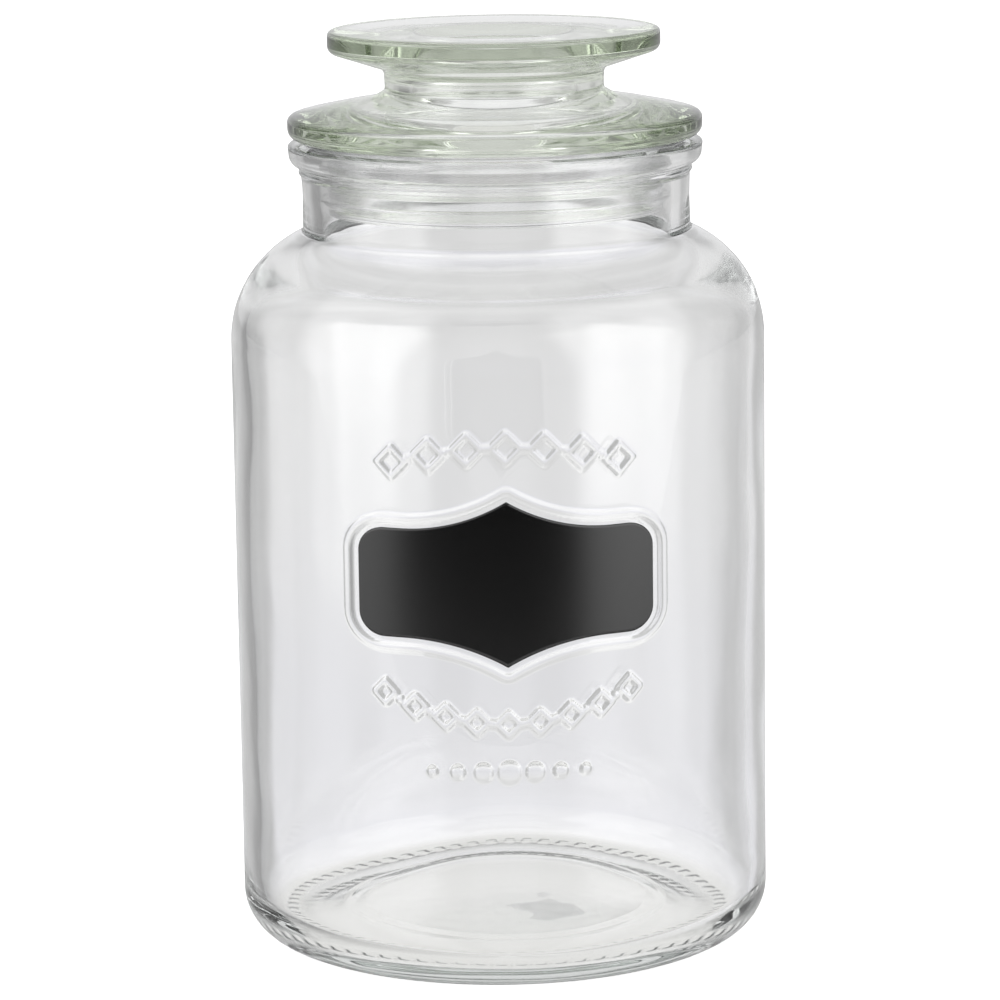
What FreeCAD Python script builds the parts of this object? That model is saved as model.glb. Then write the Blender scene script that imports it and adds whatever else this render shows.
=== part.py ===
# Glass storage jar with a pressed-glass lid: a parametric FreeCAD model, in millimetres.
#
# Frame: the origin is the centre of the base, the jar's axis is +Z, and the label faces -Y.
# Nodes: jar, lid, seal (the clear ring on the lid's plug) and label (a black film in its frame).
# The driving sizes are cells of the sheet Dims. Sketches, features and primitives are tied to them
# by expressions, in which a size is written by its bare name.
import FreeCAD, Part
import Sketcher
import math
import os
import re

SIZES = {
    # jar, outside: heights are from the base, and the lip's and the ridge's are down from the jar's top
    "body_radius": 80.0,
    "wall_height": 182.2,
    "heel_radius": 13.7,
    "shoulder_radius": 35.0,
    "neck_radius": 58.0,
    "neck_height": 26.1,
    "crease_round": 2.0,
    "ridge_drop": 8.2,
    "ridge_half": 0.9,
    "ridge_rise": 0.7,
    "lip_overhang": 3.9,
    "lip_depth": 7.0,
    "lip_edge": 1.9,
    "lip_bend": 6.0,
    "lip_bevel": 0.7,
    # jar, inside
    "body_wall": 5.0,
    "neck_wall": 5.6,
    "mouth_bevel": 1.6,
    "throat_round": 6.0,
    "floor_thickness": 7.5,
    "inner_heel": 9.0,
    "mound_foot": 1.2,
    "mound_rise": 3.2,
    "mound_flat": 16.0,
    # jar, underside
    "bearing_width": 3.3,
    "punt_margin": 13.0,
    "punt_edge": 1.6,
    "punt_step": 0.9,
    "punt_rise": 2.4,
    "punt_flat": 16.0,
    "tread_width": 1.5,
    "tread_inside": 1.3,
    "tread_outside": 3.2,
    "tread_depth": 2.0,
    # lid, outside: heights are from its seat, which is the underside of its flange
    "flange_inset": 0.1,
    "flange_round": 3.6,
    "flange_bend": 75.0,
    "foot_flare": 4.2,
    "foot_height": 11.5,
    "knob_neck_radius": 32.8,
    "knob_neck_base": 14.1,
    "knob_neck_round": 2.0,
    "knob_underside": 20.1,
    "knob_height": 32.0,
    "knob_radius": 49.5,
    "knob_rim": 5.6,
    "knob_upper_round": 1.4,
    "knob_lower_round": 2.4,
    "dish_depth": 0.9,
    "well_radius": 24.5,
    "well_slope": 4.0,
    "well_depth": 4.2,
    "well_bevel": 1.0,
    # lid, inside
    "plug_gap": 3.9,
    "plug_length": 20.0,
    "plug_wall": 6.5,
    "plug_draft": 0.6,
    "plug_bevel": 1.2,
    "hollow_height": 21.5,
    "hollow_slope": 3.5,
    "hollow_bevel": 2.0,
    "knob_wall": 8.0,
    "knob_roof": 8.5,
    # seal
    "seal_flange": 1.5,
    "seal_overlap": 4.6,
    "seal_clearance": 0.2,
    "seal_wall": 1.3,
    "seal_hook": 3.0,
    "fin_first": 4.0,
    "fin_pitch": 5.6,
    "fin_base": 2.2,
    "fin_tip": 0.6,
    "fin_rise": 1.0,
    "fin_clearance": 0.3,
    # label, centred this far below the straight wall's top, and the raised frame round it
    "label_drop": 59.9,
    "label_half_width": 42.3,
    "label_flat": 16.0,
    "label_tip": 24.2,
    "label_sweep": 30.0,
    "label_corner": 7.2,
    "label_film": 0.25,
    "frame_gap": 1.7,
    "frame_width": 2.6,
    "relief_height": 0.9,
    "relief_root": 1.2,
    # raised ornament
    "upper_lozenge": 6.0,
    "lower_lozenge": 5.0,
    "lozenge_band": 2.3,
    "link_pearl": 1.6,
    "large_pearl": 3.8,
    "small_pearl": 1.9,
}

# How many there are of what repeats, and where the rows of ornament lie: the height of a row's
# middle and of its ends above the label's centre, and half the angle that it covers, in degrees.
TREADS = 72
FINS = 3
UPPER_ROW = {"count": 7, "middle": 39.7, "end": 35.2, "half_span": 24.0}
LOWER_ROW = {"count": 9, "middle": -40.8, "end": -32.3, "half_span": 26.0}
PEARL_ROW = {"count": 7, "middle": -55.1, "end": -55.1, "half_span": 16.0}

# Sizes that follow from the driving ones.
LABEL_HEIGHT = "(wall_height - label_drop)"
SHOULDER_CENTRE = "(body_radius - shoulder_radius)"
CREASE = f"(wall_height + sqrt(shoulder_radius ^ 2 - (neck_radius - {SHOULDER_CENTRE}) ^ 2))"
JAR_TOP = f"({CREASE} + neck_height)"
LIP_RADIUS = "(neck_radius + lip_overhang)"
INNER_RADIUS = "(body_radius - body_wall)"
INNER_SHOULDER = "(shoulder_radius - body_wall)"
MOUTH_RADIUS = "(neck_radius - neck_wall)"
THROAT = f"(wall_height + sqrt({INNER_SHOULDER} ^ 2 - ({MOUTH_RADIUS} - {SHOULDER_CENTRE}) ^ 2))"
BEARING_OUTER = "(body_radius - heel_radius)"
BEARING_INNER = f"({BEARING_OUTER} - bearing_width)"
PUNT_RADIUS = f"({BEARING_INNER} - punt_margin)"
LID_SEAT = f"({JAR_TOP} + seal_flange)"
FLANGE_RADIUS = f"({LIP_RADIUS} - flange_inset)"
KNOB_TOP = f"({LID_SEAT} + knob_height)"
WELL_FLOOR = f"({KNOB_TOP} - well_depth)"
PLUG_RADIUS = f"({MOUTH_RADIUS} - plug_gap)"
PLUG_BOTTOM = f"({LID_SEAT} - plug_length)"
HOLLOW_RADIUS = f"({PLUG_RADIUS} - plug_wall)"
HOLLOW_TOP = f"({PLUG_BOTTOM} + hollow_height)"
KNOB_HOLLOW = "(knob_neck_radius - knob_wall)"
KNOB_CEILING = f"({WELL_FLOOR} - knob_roof)"
SEAL_INNER = f"({PLUG_RADIUS} + seal_clearance)"
SEAL_OUTER = f"({SEAL_INNER} + seal_wall)"
SEAL_BOTTOM = f"({PLUG_BOTTOM} - seal_clearance - seal_wall)"
SEAL_REACH = f"({MOUTH_RADIUS} + seal_overlap)"
FIN_REACH = f"({MOUTH_RADIUS} - fin_clearance)"

doc = FreeCAD.newDocument("StorageJar")
sheet = doc.addObject("Spreadsheet::Sheet", "Dims")
for row, (alias, size) in enumerate(SIZES.items(), start=1):
    sheet.set(f"A{row}", alias)
    sheet.set(f"B{row}", str(size))
    sheet.setAlias(f"B{row}", alias)
doc.recompute()


def cells(expression):
    """The expression with each bare size name turned into a reference to its cell."""
    return re.sub(r"[a-z]\w*", lambda word: f"Dims.{word[0]}" if word[0] in SIZES else word[0], expression)


def value(expression):
    """What an expression comes to, in millimetres."""
    return float(sheet.evalExpression(cells(expression)))


def bind(thing, **sizes):
    """Ties each named property of an object to an expression."""
    for name, expression in sizes.items():
        thing.setExpression(name, cells(expression))


def arc_between(start, end, radius, side):
    """The shorter arc from start to end. Side 1 has its centre to the left of the way there, side -1
    to the right, where the arc runs backwards, from end to start."""
    across, up = end[0] - start[0], end[1] - start[1]
    chord = math.hypot(across, up)
    reach = side * math.sqrt(max(0.0, radius**2 - chord**2 / 4)) / chord
    centre = FreeCAD.Vector((start[0] + end[0]) / 2 - up * reach, (start[1] + end[1]) / 2 + across * reach)
    angles = [math.atan2(point[1] - centre.y, point[0] - centre.x) for point in (start, end)]
    first, last = angles if side > 0 else reversed(angles)
    if last < first:
        last += 2 * math.pi
    return Part.ArcOfCircle(Part.Circle(centre, FreeCAD.Vector(0, 0, 1), radius), first, last)


def draw_outline(sketch, corners):
    """Draws a closed outline whose corners are (across, up) expressions. A corner may add a radius
    and a side: the edge that ends there is then an arc, as arc_between describes it."""
    points = [(value(corner[0]), value(corner[1])) for corner in corners]
    edges = []
    for corner, start, end in zip(corners, points[-1:] + points[:-1], points):
        if len(corner) == 2:
            line = Part.LineSegment(FreeCAD.Vector(*start), FreeCAD.Vector(*end))
            edges.append((sketch.addGeometry(line), 1, 2))
            continue
        radius, side = corner[2:]
        edge = sketch.addGeometry(arc_between(start, end, value(radius), side))
        edges.append((edge, 1, 2) if side > 0 else (edge, 2, 1))
        constraint = sketch.addConstraint(Sketcher.Constraint("Radius", edge, value(radius)))
        sketch.setExpression(f"Constraints[{constraint}]", cells(radius))
    following = edges[1:] + edges[:1]
    for corner, point, (edge, _, tail), (after, head, _) in zip(corners, points, edges, following):
        sketch.addConstraint(Sketcher.Constraint("Coincident", edge, tail, after, head))
        for kind, axis, text, place in zip(("DistanceX", "DistanceY"), (-2, -1), corner, point):
            if text == "0":
                sketch.addConstraint(Sketcher.Constraint("PointOnObject", edge, tail, axis))
            else:
                distance = sketch.addConstraint(Sketcher.Constraint(kind, -1, 1, edge, tail, place))
                sketch.setExpression(f"Constraints[{distance}]", cells(text))


def origin_part(body, role):
    """One of a body's own origin planes or axes."""
    return next(item for item in body.Origin.OriginFeatures if item.Role == role)


def new_sketch(body, name, plane):
    """A sketch on one of the body's own origin planes."""
    sketch = body.newObject("Sketcher::SketchObject", name)
    sketch.AttachmentSupport = [(origin_part(body, plane), "")]
    sketch.MapMode = "FlatFace"
    return sketch


def revolved_body(name, corners):
    """A body turned about its axis from an outline of (radius, height) corners."""
    body = doc.addObject("PartDesign::Body", name)
    sketch = new_sketch(body, f"{name}Outline", "XZ_Plane")
    draw_outline(sketch, corners)
    turned = body.newObject("PartDesign::Revolution", f"{name}Turned")
    turned.Profile = sketch
    turned.ReferenceAxis = (sketch, ["V_Axis"])
    turned.Angle = 360
    doc.recompute()
    return body


def ring_edges(body, rings):
    """The body so far, and the names of its ring-shaped edges nearest to the (radius, height) places."""
    base = body.Tip
    circles = {}
    for number, edge in enumerate(base.Shape.Edges, start=1):
        if edge.Closed and not edge.Degenerated and isinstance(edge.Curve, Part.Circle):
            circles[f"Edge{number}"] = (edge.Curve.Radius, edge.Curve.Center.z)
    wanted = [(value(across), value(up)) for across, up in rings]
    return base, [min(circles, key=lambda ring: math.dist(circles[ring], place)) for place in wanted]


def round_rings(body, name, radius, rings):
    """Rounds ring-shaped edges of the body."""
    edges = ring_edges(body, rings)
    fillet = body.newObject("PartDesign::Fillet", name)
    fillet.Base = edges
    bind(fillet, Radius=radius)
    doc.recompute()


def bevel_rings(body, name, size, rings):
    """Bevels ring-shaped edges of the body."""
    edges = ring_edges(body, rings)
    bevel = body.newObject("PartDesign::Chamfer", name)
    bevel.Base = edges
    bind(bevel, Size=size)
    doc.recompute()


# ---- jar --------------------------------------------------------------------------------------


def make_jar_body():
    """The blown body: base with its push-up, straight wall, round shoulder, neck and lip."""
    body = revolved_body(
        "JarBody",
        [
            # underside, from the centre of the push-up out to the heel
            ("0", "punt_edge + punt_step + punt_rise"),
            ("punt_flat", "punt_edge + punt_step + punt_rise"),
            (PUNT_RADIUS, "punt_edge + punt_step"),
            (PUNT_RADIUS, "punt_edge"),
            (BEARING_INNER, "0"),
            (BEARING_OUTER, "0"),
            ("body_radius", "heel_radius", "heel_radius", 1),
            # wall, shoulder and neck
            ("body_radius", "wall_height"),
            ("neck_radius", CREASE, "shoulder_radius", 1),
            ("neck_radius", f"{JAR_TOP} - ridge_drop - ridge_half"),
            ("neck_radius + ridge_rise", f"{JAR_TOP} - ridge_drop"),
            ("neck_radius", f"{JAR_TOP} - ridge_drop + ridge_half"),
            # lip
            ("neck_radius", f"{JAR_TOP} - lip_depth"),
            (LIP_RADIUS, f"{JAR_TOP} - lip_edge", "lip_bend", 1),
            (LIP_RADIUS, JAR_TOP),
            (MOUTH_RADIUS, JAR_TOP),
            # inside, from the mouth down to the mound in the middle of the floor
            (MOUTH_RADIUS, THROAT),
            (INNER_RADIUS, "wall_height", INNER_SHOULDER, -1),
            (INNER_RADIUS, "floor_thickness + inner_heel"),
            (f"{INNER_RADIUS} - inner_heel", "floor_thickness", "inner_heel", -1),
            (f"{PUNT_RADIUS} + mound_foot", "floor_thickness"),
            (PUNT_RADIUS, "floor_thickness + mound_foot"),
            ("mound_flat", "floor_thickness + mound_foot + mound_rise"),
            ("0", "floor_thickness + mound_foot + mound_rise"),
        ],
    )
    round_rings(body, "CreaseRound", "crease_round", [("neck_radius", CREASE)])
    round_rings(body, "ThroatRound", "throat_round", [(MOUTH_RADIUS, THROAT)])
    bevel_rings(body, "LipBevel", "lip_bevel", [(LIP_RADIUS, JAR_TOP)])
    bevel_rings(body, "MouthBevel", "mouth_bevel", [(MOUTH_RADIUS, JAR_TOP)])
    return body


def add_treads(body):
    """Adds the ring of short radial treads that the jar stands on."""
    sketch = new_sketch(body, "TreadOutline", "XY_Plane")
    outer = f"-{BEARING_OUTER} - tread_outside"
    inner = f"-{BEARING_OUTER} + tread_inside"
    sides = [("-tread_width / 2", outer), ("tread_width / 2", outer)]
    draw_outline(sketch, [*sides, ("tread_width / 2", inner), ("-tread_width / 2", inner)])
    tread = body.newObject("PartDesign::Pad", "Tread")
    tread.Profile = sketch
    bind(tread, Length="tread_depth")
    doc.recompute()
    ring = body.newObject("PartDesign::PolarPattern", "Treads")
    ring.Originals = [tread]
    ring.Axis = (origin_part(body, "Z_Axis"), [""])
    ring.Angle = 360
    ring.Occurrences = TREADS
    body.Tip = ring
    doc.recompute()


# ---- raised frame, ornament and label -----------------------------------------------------------

FACING = FreeCAD.Rotation(FreeCAD.Vector(1, 0, 0), 90)


def label_sketch():
    """The label's outline, seen from the front: flat ends with round corners, and an upper and a
    lower edge that sweep up and down to a point."""
    rise = "(label_tip - label_flat)"
    sweep = f"((label_sweep ^ 2 + {rise} ^ 2) / (2 * {rise}))"
    flat_end = "(label_half_width - label_corner)"
    corner_foot = "(label_flat - label_corner)"
    corners = [
        ("0", "label_tip"),
        ("-label_sweep", "label_flat", sweep, -1),
        (f"-{flat_end}", "label_flat"),
        ("-label_half_width", corner_foot, "label_corner", 1),
        ("-label_half_width", f"-{corner_foot}"),
        (f"-{flat_end}", "-label_flat", "label_corner", 1),
        ("-label_sweep", "-label_flat"),
        ("0", "-label_tip", sweep, -1),
        ("label_sweep", "-label_flat", sweep, -1),
        (flat_end, "-label_flat"),
        ("label_half_width", f"-{corner_foot}", "label_corner", 1),
        ("label_half_width", corner_foot),
        (flat_end, "label_flat", "label_corner", 1),
        ("label_sweep", "label_flat"),
        ("0", "label_tip", sweep, -1),
    ]
    sketch = doc.addObject("Sketcher::SketchObject", "LabelOutline")
    sketch.Placement = FreeCAD.Placement(FreeCAD.Vector(0, 0, 0), FACING)
    bind(sketch, **{"Placement.Base.z": LABEL_HEIGHT})
    draw_outline(sketch, corners[1:])
    doc.recompute()
    return sketch


def extrude_forward(name, outline):
    """A prism from the jar's axis plane out past its front."""
    prism = doc.addObject("Part::Extrusion", name)
    prism.Base = outline
    prism.DirMode = "Custom"
    prism.Dir = FreeCAD.Vector(0, -1, 0)
    prism.Solid = True
    bind(prism, LengthFwd="body_radius + 2 * relief_height")
    return prism


def grown(name, outline, amount):
    """The outline set outwards by an amount."""
    offset = doc.addObject("Part::Offset2D", name)
    offset.Source = outline
    bind(offset, Value=amount)
    return offset


def boolean(kind, name, base, tool):
    """A Part::Cut or Part::Common of two objects."""
    result = doc.addObject(f"Part::{kind}", name)
    result.Base = base
    result.Tool = tool
    return result


def tube(name, inner, outer):
    """A tube about the jar's axis, as tall as the jar's straight wall."""
    walls = []
    for part, radius in (("Outer", outer), ("Inner", inner)):
        wall = doc.addObject("Part::Cylinder", f"{name}{part}")
        bind(wall, Radius=radius, Height="wall_height")
        walls.append(wall)
    return boolean("Cut", name, *walls)


def on_wall(angle, height, depth):
    """A place at an angle from the front, a depth under the wall's face, whose Z points outwards."""
    turn = FreeCAD.Rotation(FreeCAD.Vector(0, 0, 1), angle)
    spot = turn.multVec(FreeCAD.Vector(0, depth - value("body_radius"), height))
    return FreeCAD.Placement(spot, turn * FACING)


def lozenge(name, angle, height, half_size):
    """An open lozenge, standing on its point."""
    walls = []
    for part, size in (("Outer", half_size), ("Inner", f"{half_size} - lozenge_band")):
        wall = doc.addObject("Part::Prism", f"{name}{part}")
        wall.Polygon = 4
        wall.Placement = on_wall(angle, height, value("relief_root"))
        bind(wall, Circumradius=size, Height="relief_root + 2 * relief_height")
        walls.append(wall)
    return boolean("Cut", name, *walls)


def pearl(name, angle, height, radius):
    """A low round boss: the cap of a ball that is sunk in the wall."""
    ball_radius = f"(({radius}) ^ 2 + relief_height ^ 2) / (2 * relief_height)"
    ball = doc.addObject("Part::Sphere", name)
    bind(ball, Radius=ball_radius)
    ball.Placement = on_wall(angle, height, value(f"{ball_radius} - relief_height"))
    return ball


def along_row(row, steps):
    """The angle and height at each of the evenly spaced places of a row, which bends like a bow."""
    for step in range(steps):
        share = 2 * step / (steps - 1) - 1
        above_label = row["middle"] + (row["end"] - row["middle"]) * share**2
        yield share * row["half_span"], value(LABEL_HEIGHT) + above_label


def lozenge_row(name, row, half_size):
    """A chain of open lozenges with a pearl between each two."""
    chain = []
    for place, (angle, height) in enumerate(along_row(row, 2 * row["count"] - 1)):
        if place % 2:
            chain.append(pearl(f"{name}Link{place // 2}", angle, height, "link_pearl"))
        else:
            chain.append(lozenge(f"{name}Lozenge{place // 2}", angle, height, half_size))
    return chain


def pearl_row(name, row):
    """A row of pearls that grow from its ends to its middle."""
    middle = row["count"] // 2
    pearls = []
    for place, (angle, height) in enumerate(along_row(row, row["count"])):
        radius = f"large_pearl - (large_pearl - small_pearl) * {abs(place - middle)} / {middle}"
        pearls.append(pearl(f"{name}{place}", angle, height, radius))
    return pearls


def make_relief(outline):
    """What stands proud of the jar's front: the frame round the label and the rows of ornament."""
    outer_edge = grown("FrameOuterOutline", outline, "frame_gap + frame_width")
    inner_edge = grown("FrameInnerOutline", outline, "frame_gap")
    frame = [extrude_forward("FrameOuter", outer_edge), extrude_forward("FrameInner", inner_edge)]
    motifs = [boolean("Cut", "Frame", *frame)]
    motifs += lozenge_row("Upper", UPPER_ROW, "upper_lozenge")
    motifs += lozenge_row("Lower", LOWER_ROW, "lower_lozenge")
    motifs += pearl_row("Pearl", PEARL_ROW)
    pattern = doc.addObject("Part::MultiFuse", "Motifs")
    pattern.Shapes = motifs
    skin = tube("ReliefSkin", "body_radius - relief_root", "body_radius + relief_height")
    return boolean("Common", "Relief", pattern, skin)


def make_label(outline):
    """The label: a thin black film on the wall, inside the raised frame."""
    film = tube("FilmSkin", "body_radius", "body_radius + label_film")
    return boolean("Common", "LabelFilm", extrude_forward("LabelPrism", outline), film)


# ---- lid and seal -------------------------------------------------------------------------------


def make_lid():
    """The pressed lid: a dished knob on a short neck, a domed flange and a hollow plug."""
    flange_edge = f"({FLANGE_RADIUS} - flange_round)"
    knob_rim = ("knob_radius", f"{KNOB_TOP} - knob_rim")
    well_floor = ("well_radius - well_slope", WELL_FLOOR)
    well_edge = ("well_radius", f"{KNOB_TOP} - dish_depth")
    neck_top = ("knob_neck_radius", f"{LID_SEAT} + knob_underside")
    neck_base = ("knob_neck_radius", f"{LID_SEAT} + knob_neck_base")
    plug_end = (PLUG_RADIUS, PLUG_BOTTOM)
    hollow_mouth = (HOLLOW_RADIUS, PLUG_BOTTOM)
    hollow_top = (f"{HOLLOW_RADIUS} - plug_draft", HOLLOW_TOP)
    knob_hollow = (KNOB_HOLLOW, f"{HOLLOW_TOP} + hollow_slope")
    knob_ceiling = (f"{KNOB_HOLLOW} - plug_draft", KNOB_CEILING)
    body = revolved_body(
        "LidBody",
        [
            # knob, from the middle of its well out to its rim and in again to its neck
            ("0", WELL_FLOOR),
            well_floor,
            well_edge,
            ("knob_radius - knob_upper_round", KNOB_TOP),
            ("knob_radius", f"{KNOB_TOP} - knob_upper_round", "knob_upper_round", -1),
            knob_rim,
            neck_top,
            neck_base,
            ("knob_neck_radius + foot_flare", f"{LID_SEAT} + foot_height"),
            # flange, down over its domed top and round its rim
            (flange_edge, f"{LID_SEAT} + 2 * flange_round", "flange_bend", -1),
            (FLANGE_RADIUS, f"{LID_SEAT} + flange_round", "flange_round", -1),
            (flange_edge, LID_SEAT, "flange_round", -1),
            # plug and the hollow inside it
            (PLUG_RADIUS, LID_SEAT),
            plug_end,
            hollow_mouth,
            hollow_top,
            knob_hollow,
            knob_ceiling,
            ("0", KNOB_CEILING),
        ],
    )
    round_rings(body, "RimRound", "knob_lower_round", [knob_rim])
    round_rings(body, "NeckRound", "knob_neck_round", [neck_top, neck_base])
    bevel_rings(body, "WellBevel", "well_bevel", [well_floor, well_edge])
    bevel_rings(body, "PlugBevel", "plug_bevel", [plug_end, hollow_mouth])
    bevel_rings(body, "HollowBevel", "hollow_bevel", [hollow_top, knob_hollow, knob_ceiling])
    return body


def make_seal():
    """The clear ring that grips the plug: a flange between lid and lip, a sleeve with fins that
    reach for the mouth, and a hook under the plug's end."""
    corners = [
        (SEAL_INNER, LID_SEAT),
        (SEAL_REACH, LID_SEAT),
        (SEAL_REACH, JAR_TOP),
        (SEAL_OUTER, JAR_TOP),
    ]
    for fin in range(FINS):
        top = f"({JAR_TOP} - fin_first - {fin} * fin_pitch)"
        corners += [
            (SEAL_OUTER, top),
            (FIN_REACH, f"{top} + fin_rise"),
            (FIN_REACH, f"{top} + fin_rise - fin_tip"),
            (SEAL_OUTER, f"{top} - fin_base"),
        ]
    corners += [
        (SEAL_OUTER, SEAL_BOTTOM),
        (f"{PLUG_RADIUS} - seal_hook", SEAL_BOTTOM),
        (f"{PLUG_RADIUS} - seal_hook", f"{SEAL_BOTTOM} + seal_wall"),
        (SEAL_INNER, f"{SEAL_BOTTOM} + seal_wall"),
    ]
    return revolved_body("SealBody", corners)


# ---- whole --------------------------------------------------------------------------------------


def check_document():
    """Stops if any object of the document has failed."""
    failed = [thing.Name for thing in doc.Objects if {"Invalid", "Error"} & set(thing.State)]
    if failed:
        raise RuntimeError(f"failed objects: {failed}")


def export(nodes):
    """Names each node and writes its shape, once all of them are sound."""
    for name, thing in nodes.items():
        thing.Label = name
        if thing.Shape.isNull() or not thing.Shape.isValid():
            raise RuntimeError(f"{name} has no valid shape")
    os.makedirs("parts", exist_ok=True)
    for name, thing in nodes.items():
        shape = thing.Shape
        shape.exportStep(os.path.join("parts", f"{name}.step"))
        millilitres, top = shape.Volume / 1000, shape.BoundBox.ZMax
        print(f"{name}: {len(shape.Solids)} solid, {millilitres:.1f} ml, top at {top:.2f}")


jar_body = make_jar_body()
add_treads(jar_body)
outline = label_sketch()
relief = make_relief(outline)
label = make_label(outline)
lid = make_lid()
seal = make_seal()
jar = doc.addObject("Part::Fuse", "Jar")
jar.Base = jar_body
jar.Tool = relief
doc.recompute()
check_document()
export({"jar": jar, "lid": lid, "seal": seal, "label": label})
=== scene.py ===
import math

import bmesh
import bpy
import numpy as np
from mathutils import Matrix, Vector, noise


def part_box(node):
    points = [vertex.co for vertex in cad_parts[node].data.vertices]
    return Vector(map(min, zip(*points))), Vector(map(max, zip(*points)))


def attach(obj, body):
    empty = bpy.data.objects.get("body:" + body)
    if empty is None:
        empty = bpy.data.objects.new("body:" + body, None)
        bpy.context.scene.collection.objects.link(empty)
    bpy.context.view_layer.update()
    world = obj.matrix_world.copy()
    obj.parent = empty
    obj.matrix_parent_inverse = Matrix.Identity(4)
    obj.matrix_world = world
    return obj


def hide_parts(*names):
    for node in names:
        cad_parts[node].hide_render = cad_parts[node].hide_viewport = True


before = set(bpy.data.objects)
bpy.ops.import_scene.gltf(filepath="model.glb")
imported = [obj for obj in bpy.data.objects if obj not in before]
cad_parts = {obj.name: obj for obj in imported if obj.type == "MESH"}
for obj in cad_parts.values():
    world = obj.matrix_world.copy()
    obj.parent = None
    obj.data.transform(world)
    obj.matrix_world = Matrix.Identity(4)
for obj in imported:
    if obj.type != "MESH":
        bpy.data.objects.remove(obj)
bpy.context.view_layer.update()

MM = 0.001


# ---- sizes ------------------------------------------------------------------------------------------

# The outer limits come from the parts in model.glb.
_, JAR_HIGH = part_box("jar")
LID_LOW, LID_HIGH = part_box("lid")
_, SEAL_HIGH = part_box("seal")
LABEL_LOW, LABEL_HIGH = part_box("label")

# Jar, outside
JAR_TOP = JAR_HIGH.z
BODY_RADIUS = JAR_HIGH.x
HEEL = 13.7 * MM
SHOULDER_ROUND = 35.0 * MM
NECK_RADIUS = 58.0 * MM
NECK_HEIGHT = 26.1 * MM
NECK_FOOT = JAR_TOP - NECK_HEIGHT
LIP_RADIUS = NECK_RADIUS + 3.9 * MM
RIDGE = JAR_TOP - 8.2 * MM
RIDGE_RADIUS = NECK_RADIUS + 0.7 * MM
WALL_TOP = NECK_FOOT - math.sqrt(SHOULDER_ROUND**2 - (NECK_RADIUS - BODY_RADIUS + SHOULDER_ROUND) ** 2)

# Jar, inside and underneath
INNER_RADIUS = BODY_RADIUS - 5.0 * MM
INNER_SHOULDER = SHOULDER_ROUND - 5.0 * MM
MOUTH_RADIUS = NECK_RADIUS - 5.6 * MM
FLOOR = 7.5 * MM
INNER_HEEL = 9.0 * MM
MOUND = 11.9 * MM
BEARING_OUTER = BODY_RADIUS - HEEL
BEARING_INNER = BEARING_OUTER - 3.3 * MM
MOUND_RADIUS = BEARING_INNER - 13.0 * MM
PUNT_RADIUS = BEARING_INNER - 1.5 * MM
PUNT_EDGE, PUNT_CROWN = 0.3 * MM, 4.9 * MM

# The treads that the jar stands on, and the grooves between them
TREADS = 72
TREAD_INNER, TREAD_OUTER = BEARING_OUTER - 1.3 * MM, BEARING_OUTER + 3.2 * MM
GROOVE_DEPTH = 0.45 * MM

# Lid
LID_SEAT = SEAL_HIGH.z
LID_TOP = LID_HIGH.z
FLANGE_RADIUS = LID_HIGH.x
KNOB_RADIUS = 49.5 * MM
KNOB_NECK = 32.8 * MM
WELL_RADIUS = 24.6 * MM
WELL_DEPTH = 4.2 * MM
WELL_ROOF = 8.5 * MM
PLUG_RADIUS = MOUTH_RADIUS - 3.9 * MM
PLUG_BOTTOM = LID_LOW.z
PLUG_WALL = 6.5 * MM

# Seal
SEAL_GAP = 0.04 * MM
SEAL_WALL = 1.3 * MM
SEAL_REACH = MOUTH_RADIUS + 4.6 * MM
FINS = 3
FIN_FIRST, FIN_PITCH = 4.0, 5.6
FIN_TIP = MOUTH_RADIUS - 0.15 * MM

# Label
LABEL_MIDDLE = (LABEL_LOW.z + LABEL_HIGH.z) / 2
LABEL_HALF_WIDTH = LABEL_HIGH.x
LABEL_TIP = (LABEL_HIGH.z - LABEL_LOW.z) / 2
LABEL_FLAT = 16.0 * MM
LABEL_SWEEP = 30.0 * MM
LABEL_CORNER = 7.2 * MM
FILM_FRONT = BODY_RADIUS + 0.22 * MM
FILM_BACK = BODY_RADIUS - 0.06 * MM

# Raised frame and ornament. Rows give their heights above the label's middle, and half their span in
# degrees.
RELIEF = 0.85 * MM
FRAME_MIDDLE = 3.0 * MM
FRAME_HALF = 1.35 * MM
BAND_HALF = 1.15 * MM
LINK_PEARL = 1.6 * MM
LARGE_PEARL, SMALL_PEARL = 3.8 * MM, 1.9 * MM
UPPER_ROW = {"count": 7, "middle": 39.7 * MM, "end": 35.2 * MM, "half_span": 24.0, "size": 6.0 * MM}
LOWER_ROW = {"count": 9, "middle": -40.8 * MM, "end": -32.3 * MM, "half_span": 26.0, "size": 5.0 * MM}
PEARL_ROW = {"count": 7, "middle": -55.1 * MM, "end": -55.1 * MM, "half_span": 16.0}
RELIEF_LOW, RELIEF_HIGH = LABEL_MIDDLE - 62 * MM, LABEL_MIDDLE + 49 * MM
RELIEF_SPREAD = math.radians(38)

# How finely the glass and the seal are turned, and how long the steps of their outlines may be
GLASS_COLUMNS, SEAL_COLUMNS = 240, 180
WALL_STEP, OUTLINE_STEP, INSIDE_STEP = 2.1 * MM, 4 * MM, 6 * MM

# How pale the backdrop is at each height of a direction, seen through the glass
BACKDROP = [
    (-0.50, (0.95, 0.95, 0.96)),
    (-0.30, (0.84, 0.84, 0.875)),
    (-0.24, (0.79, 0.79, 0.815)),
    (-0.17, (0.81, 0.81, 0.815)),
    (-0.11, (0.77, 0.77, 0.77)),
    (-0.05, (0.73, 0.73, 0.73)),
    (0.10, (0.74, 0.74, 0.74)),
    (0.24, (0.82, 0.82, 0.82)),
    (0.48, (0.90, 0.90, 0.90)),
    (0.70, (0.82, 0.82, 0.82)),
]

# Softboxes
SOFTBOX_DISTANCE = 1.3
SOFTBOX_RADIANCE = 1.6
SOFTBOX_FADE = 0.2
SOFTBOX_TARGET = Vector((0, 0, 0.13))


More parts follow.
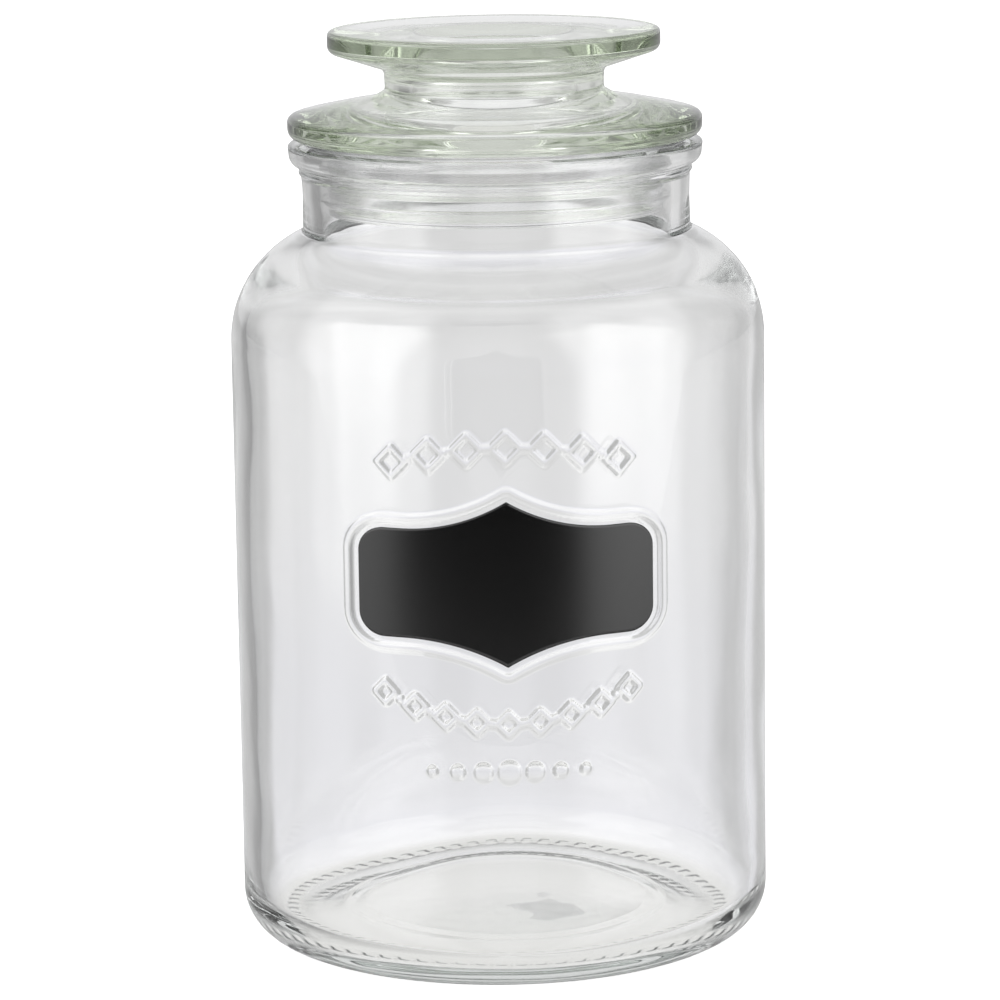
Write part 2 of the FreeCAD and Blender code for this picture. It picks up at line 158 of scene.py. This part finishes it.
# ---- outlines and turning ---------------------------------------------------------------------------


def arc(centre, radius, start, end, steps):
    """Points along an arc in the (radius, height) plane, angles in degrees."""
    angles = [math.radians(start + (end - start) * i / steps) for i in range(steps + 1)]
    return [(centre[0] + radius * math.cos(a), centre[1] + radius * math.sin(a)) for a in angles]


def dome(radius, foot, crown, steps=16):
    """Points of a shallow dome, from its foot in to its crown on the axis."""
    angles = [math.pi / 2 * i / steps for i in range(steps)]
    return [(radius * math.cos(a), foot + (crown - foot) * math.sin(a) ** 2) for a in angles] + [(0, crown)]


def rounded(corners, steps):
    """An outline whose corners may give a third number, the radius that they are rounded to."""
    points = []
    for i, corner in enumerate(corners):
        here = Vector(corner[:2])
        if len(corner) == 2 or i in (0, len(corners) - 1):
            points.append(tuple(here))
            continue
        before, after = Vector(corners[i - 1][:2]) - here, Vector(corners[i + 1][:2]) - here
        half = before.angle(after) / 2
        cut = min(corner[2] / math.tan(half), 0.49 * before.length, 0.49 * after.length)
        first, last = here + before.normalized() * cut, here + after.normalized() * cut
        centre = here + (before.normalized() + after.normalized()).normalized() * cut / math.cos(half)
        swing = math.pi - 2 * half
        for step in range(steps + 1):
            share = step / steps
            spoke = (first - centre) * math.sin((1 - share) * swing) + (last - centre) * math.sin(share * swing)
            points.append(tuple(centre + spoke / math.sin(swing)))
    return points


def divided(points, longest):
    """The outline with its long stretches cut into even steps."""
    result = [points[0]]
    for start, end in zip(points, points[1:]):
        cuts = max(1, math.ceil(math.dist(start, end) / longest))
        result += [
            (start[0] + (end[0] - start[0]) * i / cuts, start[1] + (end[1] - start[1]) * i / cuts)
            for i in range(1, cuts + 1)
        ]
    return result


def turned(points, columns, closed=False):
    """A bmesh of an outline turned about the jar's axis."""
    bm = bmesh.new()
    ring = [bm.verts.new((r, 0, z)) for r, z in points]
    pairs = list(zip(ring, ring[1:]))
    if closed:
        pairs.append((ring[-1], ring[0]))
    edges = [bm.edges.new(pair) for pair in pairs]
    bmesh.ops.spin(
        bm,
        geom=ring + edges,
        axis=(0, 0, 1),
        cent=(0, 0, 0),
        angle=2 * math.pi,
        steps=columns,
        use_merge=True,
    )
    bmesh.ops.remove_doubles(bm, verts=bm.verts, dist=1e-6)
    bmesh.ops.recalc_face_normals(bm, faces=bm.faces)
    return bm


def new_mesh(bm, name):
    mesh = bpy.data.meshes.new(name)
    bm.to_mesh(mesh)
    bm.free()
    return mesh


def new_object(name, data):
    """An object at the origin, in the scene."""
    thing = bpy.data.objects.new(name, data)
    bpy.context.scene.collection.objects.link(thing)
    return thing


def finish_piece(bm, name, slot, material, *nodes):
    """Makes the object of a bmesh, smooth shaded, hangs it on the root body and hides the CAD nodes that it
    stands for.
    """
    mesh = new_mesh(bm, name)
    mesh.shade_smooth()
    mesh.materials.append(material)
    piece = new_object(name, mesh)
    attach(piece, "root")
    if nodes:
        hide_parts(*nodes)
    return piece


# ---- jar --------------------------------------------------------------------------------------------


def jar_outline():
    """The jar's closed wall, from the axis underneath, up outside, and down inside to the axis."""
    shoulder = (BODY_RADIUS - SHOULDER_ROUND, WALL_TOP)
    crease = math.degrees(math.acos((NECK_RADIUS - shoulder[0]) / SHOULDER_ROUND))
    throat = math.acos((MOUTH_RADIUS - shoulder[0]) / INNER_SHOULDER)
    underside = [
        *dome(PUNT_RADIUS, PUNT_EDGE, PUNT_CROWN)[::-1],
        (BEARING_INNER, 0.1 * MM),
        (BEARING_OUTER - 1.5 * MM, 0),
    ]
    heel = arc((BEARING_OUTER, HEEL), HEEL, -90, 0, 14)
    wall = divided([heel[-1], (BODY_RADIUS, WALL_TOP)], WALL_STEP)[1:-1]
    outer_shoulder = arc(shoulder, SHOULDER_ROUND, 0, crease, 18)[:-1]
    neck = rounded([
        outer_shoulder[-1],
        (NECK_RADIUS, NECK_FOOT, 2 * MM),
        (NECK_RADIUS - 0.25 * MM, JAR_TOP - 17 * MM, 60 * MM),
        (NECK_RADIUS, RIDGE - 1.4 * MM, 0.8 * MM),
        (RIDGE_RADIUS, RIDGE - 0.3 * MM, 0.5 * MM),
        (RIDGE_RADIUS, RIDGE + 0.3 * MM, 0.5 * MM),
        (NECK_RADIUS + 0.1 * MM, JAR_TOP - 7.0 * MM, 0.5 * MM),
        (LIP_RADIUS - 0.5 * MM, JAR_TOP - 5.2 * MM, 5 * MM),
        (LIP_RADIUS, JAR_TOP, 0.8 * MM),
        (MOUTH_RADIUS, JAR_TOP, 2.0 * MM),
        (MOUTH_RADIUS, JAR_TOP - 12 * MM),
    ], 6)[1:]
    inside = rounded([
        (MOUTH_RADIUS, JAR_TOP - 16 * MM),
        (MOUTH_RADIUS, WALL_TOP + INNER_SHOULDER * math.sin(throat), 7 * MM),
        (INNER_RADIUS - 0.02 * MM, WALL_TOP + 12 * MM, 24 * MM),
        (INNER_RADIUS, WALL_TOP - 10 * MM),
        (INNER_RADIUS, FLOOR, INNER_HEEL),
        (MOUND_RADIUS, FLOOR, 1.5 * MM),
        (MOUND_RADIUS - 2.5 * MM, FLOOR + 0.42 * MM, 2.5 * MM),
        (MOUND_RADIUS - 6 * MM, FLOOR + 0.6 * MM),
    ], 8) + dome(MOUND_RADIUS - 7 * MM, FLOOR + 0.65 * MM, MOUND)
    outside = underside + heel + wall + outer_shoulder
    return outside + divided(neck, OUTLINE_STEP) + divided(inside, INSIDE_STEP)


def label_edge(across):
    """Half the label's height at each distance from its middle, seen from the front."""
    across = np.abs(across)
    rise = LABEL_TIP - LABEL_FLAT
    bend = (LABEL_SWEEP**2 + rise**2) / (2 * rise)
    sweep = LABEL_FLAT + bend - np.sqrt(bend**2 - np.clip(LABEL_SWEEP - across, 0, None) ** 2)
    into_corner = np.clip(across - (LABEL_HALF_WIDTH - LABEL_CORNER), 0, LABEL_CORNER)
    return sweep - LABEL_CORNER + np.sqrt(LABEL_CORNER**2 - into_corner**2)


def nearest(points, path):
    """How far each point is from a path of straight steps."""
    best = np.full(len(points), np.inf)
    for start, end in zip(path[:-1], path[1:]):
        along = end - start
        share = np.clip(((points - start) @ along) / (along @ along), 0, 1)
        best = np.minimum(best, np.linalg.norm(points - start - share[:, None] * along, axis=1))
    return best


def ridge_height(distance, half_width):
    """A soft ridge with a flattish top, by the distance from its middle line."""
    return RELIEF * np.clip(1 - np.abs(distance / half_width) ** 3, 0, 1) ** 0.85


def along_row(row, steps):
    """Where the evenly spaced places of a row of ornament are, as it bends like a bow."""
    for step in range(steps):
        share = 2 * step / (steps - 1) - 1
        height = row["middle"] + (row["end"] - row["middle"]) * share**2
        yield np.array((math.radians(share * row["half_span"]) * BODY_RADIUS, height))


def relief(angle, height):
    """How far the ornament stands proud at each place of the wall."""
    flat = np.column_stack((angle * BODY_RADIUS, height))
    seen = np.column_stack((BODY_RADIUS * np.sin(angle), height))
    across = np.sin(np.linspace(0, math.pi / 2, 40)) * LABEL_HALF_WIDTH
    edge = np.vstack((np.column_stack((across, label_edge(across))), ((LABEL_HALF_WIDTH, 0),)))
    away = nearest(np.abs(seen), edge)
    outside = np.abs(seen[:, 1]) > label_edge(np.clip(seen[:, 0], -LABEL_HALF_WIDTH, LABEL_HALF_WIDTH))
    outside |= np.abs(seen[:, 0]) > LABEL_HALF_WIDTH
    result = np.where(outside, ridge_height(away - FRAME_MIDDLE, FRAME_HALF), 0)
    for row in (UPPER_ROW, LOWER_ROW):
        for place, middle in enumerate(along_row(row, 2 * row["count"] - 1)):
            if place % 2:
                bump = ridge_height(np.linalg.norm(flat - middle, axis=1), LINK_PEARL)
            else:
                reach = row["size"] - BAND_HALF * math.sqrt(2)
                corners = middle + reach * np.array(((0, 1), (1, 0), (0, -1), (-1, 0), (0, 1)))
                bump = ridge_height(nearest(flat, corners), BAND_HALF)
            result = np.maximum(result, bump)
    half = PEARL_ROW["count"] // 2
    for place, middle in enumerate(along_row(PEARL_ROW, PEARL_ROW["count"])):
        radius = LARGE_PEARL - (LARGE_PEARL - SMALL_PEARL) * abs(place - half) / half
        result = np.maximum(result, ridge_height(np.linalg.norm(flat - middle, axis=1), radius))
    return result


def refine(bm, chosen, cuts):
    """Cuts the faces whose middle is chosen into a fine grid, and returns their vertices."""
    faces = [face for face in bm.faces if chosen(face.calc_center_median())]
    edges = list({edge for face in faces for edge in face.edges})
    bmesh.ops.subdivide_edges(bm, edges=edges, cuts=cuts, use_grid_fill=True)
    return [vert for vert in bm.verts if chosen(vert.co)]


def emboss(bm):
    """Raises the frame and the ornament on the front of the jar."""

    def on_front(place):
        facing = abs(math.atan2(place.x, -place.y)) < RELIEF_SPREAD
        outer = math.hypot(place.x, place.y) > BODY_RADIUS - 0.3 * MM
        return facing and outer and RELIEF_LOW < place.z < RELIEF_HIGH

    verts = refine(bm, on_front, 3)
    angles = np.array([math.atan2(vert.co.x, -vert.co.y) for vert in verts])
    heights = np.array([vert.co.z - LABEL_MIDDLE for vert in verts])
    for vert, angle, proud in zip(verts, angles, relief(angles, heights)):
        vert.co.x = (BODY_RADIUS + proud) * math.sin(angle)
        vert.co.y = -(BODY_RADIUS + proud) * math.cos(angle)


def groove_treads(bm):
    """Cuts the grooves between the short treads of the ring that the jar stands on."""
    margin = 0.5 * MM

    def on_ring(place):
        return TREAD_INNER - margin < math.hypot(place.x, place.y) < TREAD_OUTER + margin and place.z < 2 * MM

    for vert in refine(bm, on_ring, 2):
        reach = math.hypot(vert.co.x, vert.co.y)
        turn = math.atan2(vert.co.y, vert.co.x) * TREADS / (2 * math.pi)
        beside = min(1, max(0, abs(turn - round(turn)) * 2 - 0.3) / 0.4)
        ends = max(0, min(1, (reach - TREAD_INNER) / MM, (TREAD_OUTER - reach) / MM))
        vert.co.z += GROOVE_DEPTH * ends * beside * beside * (3 - 2 * beside)


def waver(bm):
    """Lets the glass wander a little, in and out in the wall and up and down in the floor: the inside from
    the floor into the neck, and the outside from the shoulder into the neck."""
    for vert in bm.verts:
        reach = math.hypot(vert.co.x, vert.co.y)
        in_reach = 1 * MM <= reach < BODY_RADIUS - 2 * MM
        if not in_reach or not FLOOR - 1 * MM < vert.co.z <= JAR_TOP - 12 * MM:
            continue
        slow = noise.noise(vert.co * 22) * 0.45 + noise.noise(vert.co * 60 + Vector((5, 3, 1))) * 0.07
        if vert.co.z > FLOOR + 12 * MM:
            vert.co += Vector((vert.co.x, vert.co.y, 0)).normalized() * slow * MM
        else:
            vert.co.z += slow * 0.8 * MM


def make_jar(material):
    bm = turned(jar_outline(), GLASS_COLUMNS)
    waver(bm)
    emboss(bm)
    groove_treads(bm)
    bmesh.ops.recalc_face_normals(bm, faces=bm.faces)
    finish_piece(bm, "jar_glass_body", "jar_glass", material, "jar")


# ---- lid, seal and label ----------------------------------------------------------------------------


def make_lid(material):
    """The knob, its neck, the foot and the flange, then the plug and the hollow inside."""
    seat = LID_SEAT + 0.02 * MM
    well = LID_TOP - WELL_DEPTH
    ceiling = well - WELL_ROOF
    plug_inside = PLUG_RADIUS - PLUG_WALL
    outline = rounded([
        (0, well),
        (WELL_RADIUS - 4.1 * MM, well, 2.0 * MM),
        (WELL_RADIUS, LID_TOP - 0.9 * MM, 1.6 * MM),
        (KNOB_RADIUS, LID_TOP, 1.5 * MM),
        (KNOB_RADIUS, LID_TOP - 6.2 * MM, 2.4 * MM),
        (KNOB_NECK, seat + 20.3 * MM, 2.5 * MM),
        (KNOB_NECK - 0.2 * MM, seat + 14.2 * MM, 1.6 * MM),
        (KNOB_NECK + 4.2 * MM, seat + 11.5 * MM, 1.0 * MM),
        (49.0 * MM, seat + 9.4 * MM, 3 * MM),
        (FLANGE_RADIUS - 3.0 * MM, seat + 7.4 * MM, 6 * MM),
        (FLANGE_RADIUS, seat + 6.6 * MM, 3.0 * MM),
        (FLANGE_RADIUS, seat, 3.4 * MM),
        (PLUG_RADIUS, seat, 0.6 * MM),
        (PLUG_RADIUS, PLUG_BOTTOM, 1.5 * MM),
        (plug_inside, PLUG_BOTTOM, 1.5 * MM),
        (plug_inside - 0.6 * MM, PLUG_BOTTOM + 21.5 * MM, 3.0 * MM),
        (24.8 * MM, PLUG_BOTTOM + 25.0 * MM, 3.0 * MM),
        (24.2 * MM, ceiling, 3.0 * MM),
        (0, ceiling),
    ], 8)
    bm = turned(divided(outline, OUTLINE_STEP), GLASS_COLUMNS)
    finish_piece(bm, "lid_glass_body", "lid_glass", material, "lid")


def make_seal(material):
    """The flange under the lid, the fins down the sleeve, and the hook round the plug's end."""
    seat, lip = LID_SEAT - SEAL_GAP, JAR_TOP + SEAL_GAP
    inner = PLUG_RADIUS + 0.12 * MM
    outer = inner + SEAL_WALL
    bottom = PLUG_BOTTOM - 1.5 * MM
    corners = [
        (inner, seat),
        (SEAL_REACH, seat, 0.4 * MM),
        (SEAL_REACH, lip, 0.4 * MM),
        (outer, lip, 0.3 * MM),
    ]
    for fin in range(FINS):
        height = JAR_TOP - (FIN_FIRST + FIN_PITCH * fin) * MM
        corners += [
            (outer, height, 0.3 * MM),
            (FIN_TIP, height + 1.0 * MM, 0.2 * MM),
            (FIN_TIP, height + 0.4 * MM, 0.2 * MM),
            (outer, height - 2.2 * MM, 0.6 * MM),
        ]
    corners += [
        (outer, bottom, 0.4 * MM),
        (PLUG_RADIUS - 3.0 * MM, bottom, 0.4 * MM),
        (PLUG_RADIUS - 3.0 * MM, bottom + SEAL_WALL, 0.4 * MM),
        (inner, bottom + SEAL_WALL, 0.2 * MM),
        (inner, bottom + 2.5 * MM),
    ]
    bm = turned(rounded(corners, 4), SEAL_COLUMNS, closed=True)
    finish_piece(bm, "seal_ring", "clear_seal", material, "seal")


def make_label(material):
    """A film on the wall, its back just inside the glass so that no gap shows."""
    bm = bmesh.new()
    bmesh.ops.create_grid(bm, x_segments=96, y_segments=40, size=1)
    for vert in bm.verts:
        across = math.sin(vert.co.x * math.pi / 2) * LABEL_HALF_WIDTH
        height = vert.co.y * float(label_edge(np.array(across)))
        angle = math.asin(across / BODY_RADIUS)
        vert.co = (BODY_RADIUS * math.sin(angle), -BODY_RADIUS * math.cos(angle), LABEL_MIDDLE + height)
    grown = bmesh.ops.extrude_face_region(bm, geom=bm.faces[:])
    front = {item for item in grown["geom"] if isinstance(item, bmesh.types.BMVert)}
    for vert in bm.verts:
        reach = FILM_FRONT if vert in front else FILM_BACK
        vert.co.x *= reach / BODY_RADIUS
        vert.co.y *= reach / BODY_RADIUS
    bmesh.ops.recalc_face_normals(bm, faces=bm.faces)
    finish_piece(bm, "label_film", "black_label", material, "label")


# ---- nodes ------------------------------------------------------------------------------------------


def new_material(name):
    material = bpy.data.materials.new(name)
    material.use_nodes = True
    tree = material.node_tree
    return material, tree, tree.nodes["Principled BSDF"]


def add_node(tree, kind, **values):
    """A node whose named inputs are set."""
    node = tree.nodes.new(kind)
    for name, value in values.items():
        node.inputs[name.replace("_", " ")].default_value = value
    return node


def math_node(tree, operation, *operands):
    """A Math node's result. An operand is a socket or a number."""
    node = tree.nodes.new("ShaderNodeMath")
    node.operation = operation
    for socket, operand in zip(node.inputs, operands):
        if isinstance(operand, (int, float)):
            socket.default_value = operand
        else:
            tree.links.new(operand, socket)
    return node.outputs[0]


def product(tree, first, *others):
    """The product of several sockets."""
    for other in others:
        first = math_node(tree, "MULTIPLY", first, other)
    return first


def eased(tree, source, low, high):
    """A soft slope from 0 where the source is at low to 1 where it is at high."""
    ease = add_node(tree, "ShaderNodeMapRange", From_Min=low, From_Max=high)
    ease.interpolation_type = "SMOOTHSTEP"
    tree.links.new(source, ease.inputs["Value"])
    return ease.outputs["Result"]


def grey(level):
    return (level, level, level)


def blend_by(tree, mask, first, second):
    """A colour that goes from the first to the second as the mask goes from 0 to 1. Each is a colour or
    a socket."""
    mix = tree.nodes.new("ShaderNodeMix")
    mix.data_type = "RGBA"
    tree.links.new(mask, mix.inputs["Factor"])
    for name, colour in (("A", first), ("B", second)):
        if isinstance(colour, tuple):
            mix.inputs[name].default_value = (*colour, 1)
        else:
            tree.links.new(colour, mix.inputs[name])
    return mix.outputs["Result"]


def mixed_shader(tree, mask, first, second):
    """A shader that goes from the first to the second as the mask goes from 0 to 1."""
    mix = tree.nodes.new("ShaderNodeMixShader")
    for place, socket in enumerate((mask, first, second)):
        tree.links.new(socket, mix.inputs[place])
    return mix.outputs[0]


def split_axes(tree, vector):
    """The X, Y and Z of a vector socket."""
    split = tree.nodes.new("ShaderNodeSeparateXYZ")
    tree.links.new(vector, split.inputs[0])
    return split.outputs


# ---- materials --------------------------------------------------------------------------------------


def surface_marks():
    """A node group for the finish of every piece. Flow is the slow unevenness of a moulded or printed surface,
    Scuffs the fine short rubbing marks of use, and Foot the wear where the piece stands."""
    group = bpy.data.node_groups.new("surface_marks", "ShaderNodeTree")
    for name, default in (("Flow Scale", 60.0), ("Scuff Scale", 500.0), ("Foot Height", 1 * MM)):
        group.interface.new_socket(name, in_out="INPUT", socket_type="NodeSocketFloat").default_value = default
    for name in ("Flow", "Scuffs", "Foot"):
        group.interface.new_socket(name, in_out="OUTPUT", socket_type="NodeSocketFloat")
    entry, end = group.nodes.new("NodeGroupInput"), group.nodes.new("NodeGroupOutput")
    place = group.nodes.new("ShaderNodeTexCoord").outputs["Object"]
    flow = add_node(group, "ShaderNodeTexNoise", Detail=1.0, Roughness=0.4)
    group.links.new(place, flow.inputs["Vector"])
    group.links.new(entry.outputs["Flow Scale"], flow.inputs["Scale"])
    stretch = add_node(group, "ShaderNodeMapping", Rotation=(0.5, 0.7, 0.0), Scale=(1.0, 1.0, 0.16))
    group.links.new(place, stretch.inputs["Vector"])
    rubbed = add_node(group, "ShaderNodeTexNoise", Detail=3.0, Roughness=0.6)
    group.links.new(stretch.outputs[0], rubbed.inputs["Vector"])
    group.links.new(entry.outputs["Scuff Scale"], rubbed.inputs["Scale"])
    above = math_node(group, "DIVIDE", split_axes(group, place)["Z"], entry.outputs["Foot Height"])
    for name, value in (
        ("Flow", flow.outputs["Fac"]),
        ("Scuffs", eased(group, rubbed.outputs["Fac"], 0.56, 0.78)),
        ("Foot", eased(group, above, 1.0, 0.4)),
    ):
        group.links.new(value, end.inputs[name])
    return group


def marked(tree, group, flow_scale, scuff_scale):
    """Places the surface marks in a material."""
    marks = tree.nodes.new("ShaderNodeGroup")
    marks.node_tree = group
    marks.inputs["Flow Scale"].default_value = flow_scale
    marks.inputs["Scuff Scale"].default_value = scuff_scale
    return marks.outputs


def glass(name, group, tint, density, ior, roughness, flow_scale, flow_depth):
    """Clear glass, whose colour deepens with the way through it. It is uneven as moulded glass is, hazed
    a little by handling, and rubbed dull where it stands."""
    material, tree, shader = new_material(name)
    shader.inputs["Base Color"].default_value = (1, 1, 1, 1)
    shader.inputs["IOR"].default_value = ior
    shader.inputs["Transmission Weight"].default_value = 1
    marks = marked(tree, group, flow_scale, 420.0)
    haze = math_node(tree, "MULTIPLY_ADD", marks["Scuffs"], 0.02, roughness)
    rough = math_node(tree, "MULTIPLY_ADD", marks["Foot"], 0.2, haze)
    tree.links.new(rough, shader.inputs["Roughness"])
    bump = add_node(tree, "ShaderNodeBump", Strength=1.0, Distance=flow_depth)
    tree.links.new(marks["Flow"], bump.inputs["Height"])
    tree.links.new(bump.outputs["Normal"], shader.inputs["Normal"])
    depth = add_node(tree, "ShaderNodeVolumeAbsorption", Color=(*tint, 1), Density=density)
    tree.links.new(depth.outputs[0], tree.nodes["Material Output"].inputs["Volume"])
    return material


def chalk_black(group):
    """Satin black write-on film, very faintly cloudy and scuffed by wiping."""
    material, tree, shader = new_material("chalk_black")
    shader.inputs["Specular IOR Level"].default_value = 0.9
    marks = marked(tree, group, 35.0, 700.0)
    cloud = eased(tree, marks["Flow"], 0.35, 0.7)
    film = blend_by(tree, cloud, grey(0.0011), grey(0.0014))
    wiped = blend_by(tree, marks["Scuffs"], film, grey(0.0014))
    tree.links.new(wiped, shader.inputs["Base Color"])
    satin = math_node(tree, "MULTIPLY_ADD", cloud, 0.01, 0.26)
    rough = math_node(tree, "MULTIPLY_ADD", marks["Scuffs"], 0.004, satin)
    tree.links.new(rough, shader.inputs["Roughness"])
    return material


# ---- studio -----------------------------------------------------------------------------------------


def mirrored_room(tree, axes, from_back):
    """What the glass mirrors: a bright backdrop behind the jar, a dim room at the sides and above, and a
    dark one in front, between the softboxes."""
    front = eased(tree, from_back, math.radians(125), math.radians(150))
    sides = blend_by(tree, front, grey(0.22), grey(0.012))
    beside = eased(tree, from_back, math.radians(28), math.radians(48))
    around = blend_by(tree, beside, (0.82, 0.82, 0.83), sides)
    return blend_by(tree, eased(tree, axes["Z"], 0.0, 0.85), around, (0.3, 0.3, 0.31))


def backdrop_through(tree, axes, from_back):
    """What shows through the glass: a ring of pale panels, greyest at the height of the jar, with grey
    seams between them and one dark panel at the back on the left, which both end a little above it."""
    panels = tree.nodes.new("ShaderNodeValToRGB")
    tree.links.new(math_node(tree, "MULTIPLY_ADD", axes["Z"], 0.5, 0.5), panels.inputs[0])
    stops = panels.color_ramp.elements
    while len(stops) < len(BACKDROP):
        stops.new(0.5)
    for stop, (height, colour) in zip(stops, BACKDROP):
        stop.position, stop.color = height / 2 + 0.5, (*colour, 1)
    low = eased(tree, axes["Z"], 0.25, 0.0)
    wave = math_node(tree, "ABSOLUTE", math_node(tree, "SINE", math_node(tree, "MULTIPLY", from_back, 4.0)))
    seams = product(tree, eased(tree, wave, 0.66, 0.98), low)
    dark_panel = product(
        tree,
        eased(tree, from_back, math.radians(24), math.radians(33)),
        eased(tree, from_back, math.radians(64), math.radians(50)),
        eased(tree, axes["X"], 0.0, -0.3),
        low,
    )
    ring = blend_by(tree, seams, panels.outputs["Color"], grey(0.5))
    return blend_by(tree, dark_panel, ring, grey(0.27))


def make_world():
    """White to the camera, one room mirrored on the glass and another seen through it, and even light
    for the rest."""
    world = bpy.data.worlds.new("studio")
    bpy.context.scene.world = world
    world.use_nodes = True
    tree = world.node_tree
    rays = tree.nodes.new("ShaderNodeLightPath").outputs
    axes = split_axes(tree, tree.nodes.new("ShaderNodeTexCoord").outputs["Generated"])
    from_back = math_node(tree, "ARCTAN2", math_node(tree, "ABSOLUTE", axes["X"]), axes["Y"])
    colour = blend_by(tree, rays["Is Glossy Ray"], grey(0.6), mirrored_room(tree, axes, from_back))
    colour = blend_by(tree, rays["Is Transmission Ray"], colour, backdrop_through(tree, axes, from_back))
    colour = blend_by(tree, rays["Is Camera Ray"], colour, grey(1))
    tree.links.new(colour, tree.nodes["Background"].inputs["Color"])


def make_floor():
    """A round pale table, white to the camera outside the jar's soft shadow. Seen through the glass, the floor
    under the jar alone is a flat glowing grey, a painted shadow of the floor in the jar's shade; further out it
    lets the backdrop below it show."""
    bm = bmesh.new()
    bmesh.ops.create_circle(bm, cap_ends=True, segments=96, radius=3.0)
    bmesh.ops.translate(bm, verts=bm.verts, vec=(0, 2.62, 0))
    mesh = new_mesh(bm, "floor")
    floor = new_object("floor", mesh)
    material, tree, shader = new_material("pale_floor")
    shader.inputs["Base Color"].default_value = (*grey(0.8), 1)
    shader.inputs["Roughness"].default_value = 0.9
    shader.inputs["Specular IOR Level"].default_value = 0.0
    rays = tree.nodes.new("ShaderNodeLightPath").outputs
    place = tree.nodes.new("ShaderNodeTexCoord").outputs["Object"]
    length = tree.nodes.new("ShaderNodeVectorMath")
    length.operation = "LENGTH"
    tree.links.new(place, length.inputs[0])
    away = length.outputs["Value"]
    lift = tree.nodes.new("ShaderNodeEmission")
    tree.links.new(rays["Is Camera Ray"], lift.inputs["Strength"])
    tree.links.new(blend_by(tree, eased(tree, away, 0.08, 0.13), grey(0.8), grey(1)), lift.inputs["Color"])
    lifted = tree.nodes.new("ShaderNodeAddShader")
    tree.links.new(shader.outputs[0], lifted.inputs[0])
    tree.links.new(lift.outputs[0], lifted.inputs[1])
    # Painted shadow: light through the glass sees this flat glowing grey under the jar in place of the shaded
    # floor
    under = add_node(tree, "ShaderNodeEmission", Color=(0.79, 0.79, 0.77, 1))
    beyond = tree.nodes.new("ShaderNodeBsdfTransparent")
    through = mixed_shader(tree, eased(tree, away, 0.07, 0.085), under.outputs[0], beyond.outputs[0])
    whole = mixed_shader(tree, rays["Is Transmission Ray"], lifted.outputs[0], through)
    tree.links.new(whole, tree.nodes["Material Output"].inputs["Surface"])
    mesh.materials.append(material)


def soft_light(name, angle, elevation, width, height):
    """A softbox that faces the object, at an angle from the front and an elevation, in degrees. Its
    edges fade over a share of its width and height."""
    light = bpy.data.lights.new(name, "AREA")
    light.shape = "RECTANGLE"
    light.size, light.size_y = width, height
    light.energy = SOFTBOX_RADIANCE * math.pi * width * height
    light.use_nodes = True
    tree = light.node_tree
    axes = split_axes(tree, tree.nodes.new("ShaderNodeNewGeometry").outputs["Parametric"])
    slopes = [
        eased(tree, axes[axis], start, end)
        for axis in ("X", "Y")
        for start, end in ((0, SOFTBOX_FADE), (1, 1 - SOFTBOX_FADE))
    ]
    tree.links.new(product(tree, *slopes), tree.nodes["Emission"].inputs["Strength"])
    turn, rise = math.radians(angle), math.radians(elevation)
    spot = Vector((math.sin(turn) * math.cos(rise), -math.cos(turn) * math.cos(rise), math.sin(rise)))
    spot *= SOFTBOX_DISTANCE
    lamp = new_object(name, light)
    facing = spot.to_track_quat("Z", "Y").to_matrix().to_4x4()
    lamp.matrix_world = Matrix.Translation(SOFTBOX_TARGET + spot) @ facing


def make_camera():
    camera = bpy.data.cameras.new("camera")
    camera.lens = 163.7
    camera.sensor_width = 36
    camera.clip_end = 50
    turn, pitch, roll = (math.radians(angle) for angle in (-1.2, -10.97, -0.8))
    around = Matrix.Rotation(turn, 4, "Z")
    look = around @ Matrix.Rotation(math.pi / 2 + pitch, 4, "X") @ Matrix.Rotation(roll, 4, "Z")
    view = new_object("camera", camera)
    view.matrix_world = Matrix.Translation(around @ Vector((0, -1.3505, 0.3934))) @ look
    bpy.context.scene.camera = view


# ---- everything -------------------------------------------------------------------------------------

marks = surface_marks()
jar_glass = glass(
    "clear_jar_glass", marks,
    tint=(0.78, 0.80, 0.79), density=8.0, ior=1.52, roughness=0.0, flow_scale=70.0, flow_depth=0.02 * MM,
)
lid_glass = glass(
    "green_lid_glass", marks,
    tint=(0.80, 0.828, 0.768), density=29.0, ior=1.52, roughness=0.0, flow_scale=90.0, flow_depth=0.01 * MM,
)
soft_plastic = glass(
    "clear_soft_plastic", marks,
    tint=(0.9, 0.92, 0.95), density=8.0, ior=1.45, roughness=0.1, flow_scale=160.0, flow_depth=0.01 * MM,
)
make_jar(jar_glass)
make_lid(lid_glass)
make_seal(soft_plastic)
make_label(chalk_black(marks))
make_floor()
make_world()
soft_light("left_softbox", angle=-67.5, elevation=21, width=1.56, height=1.95)
soft_light("right_softbox", angle=59.5, elevation=18, width=1.8, height=2.0)
make_camera()
bpy.context.scene.view_settings.view_transform = "Standard"
for limit in ("max_bounces", "glossy_bounces", "transmission_bounces"):
    setattr(bpy.context.scene.cycles, limit, 32)
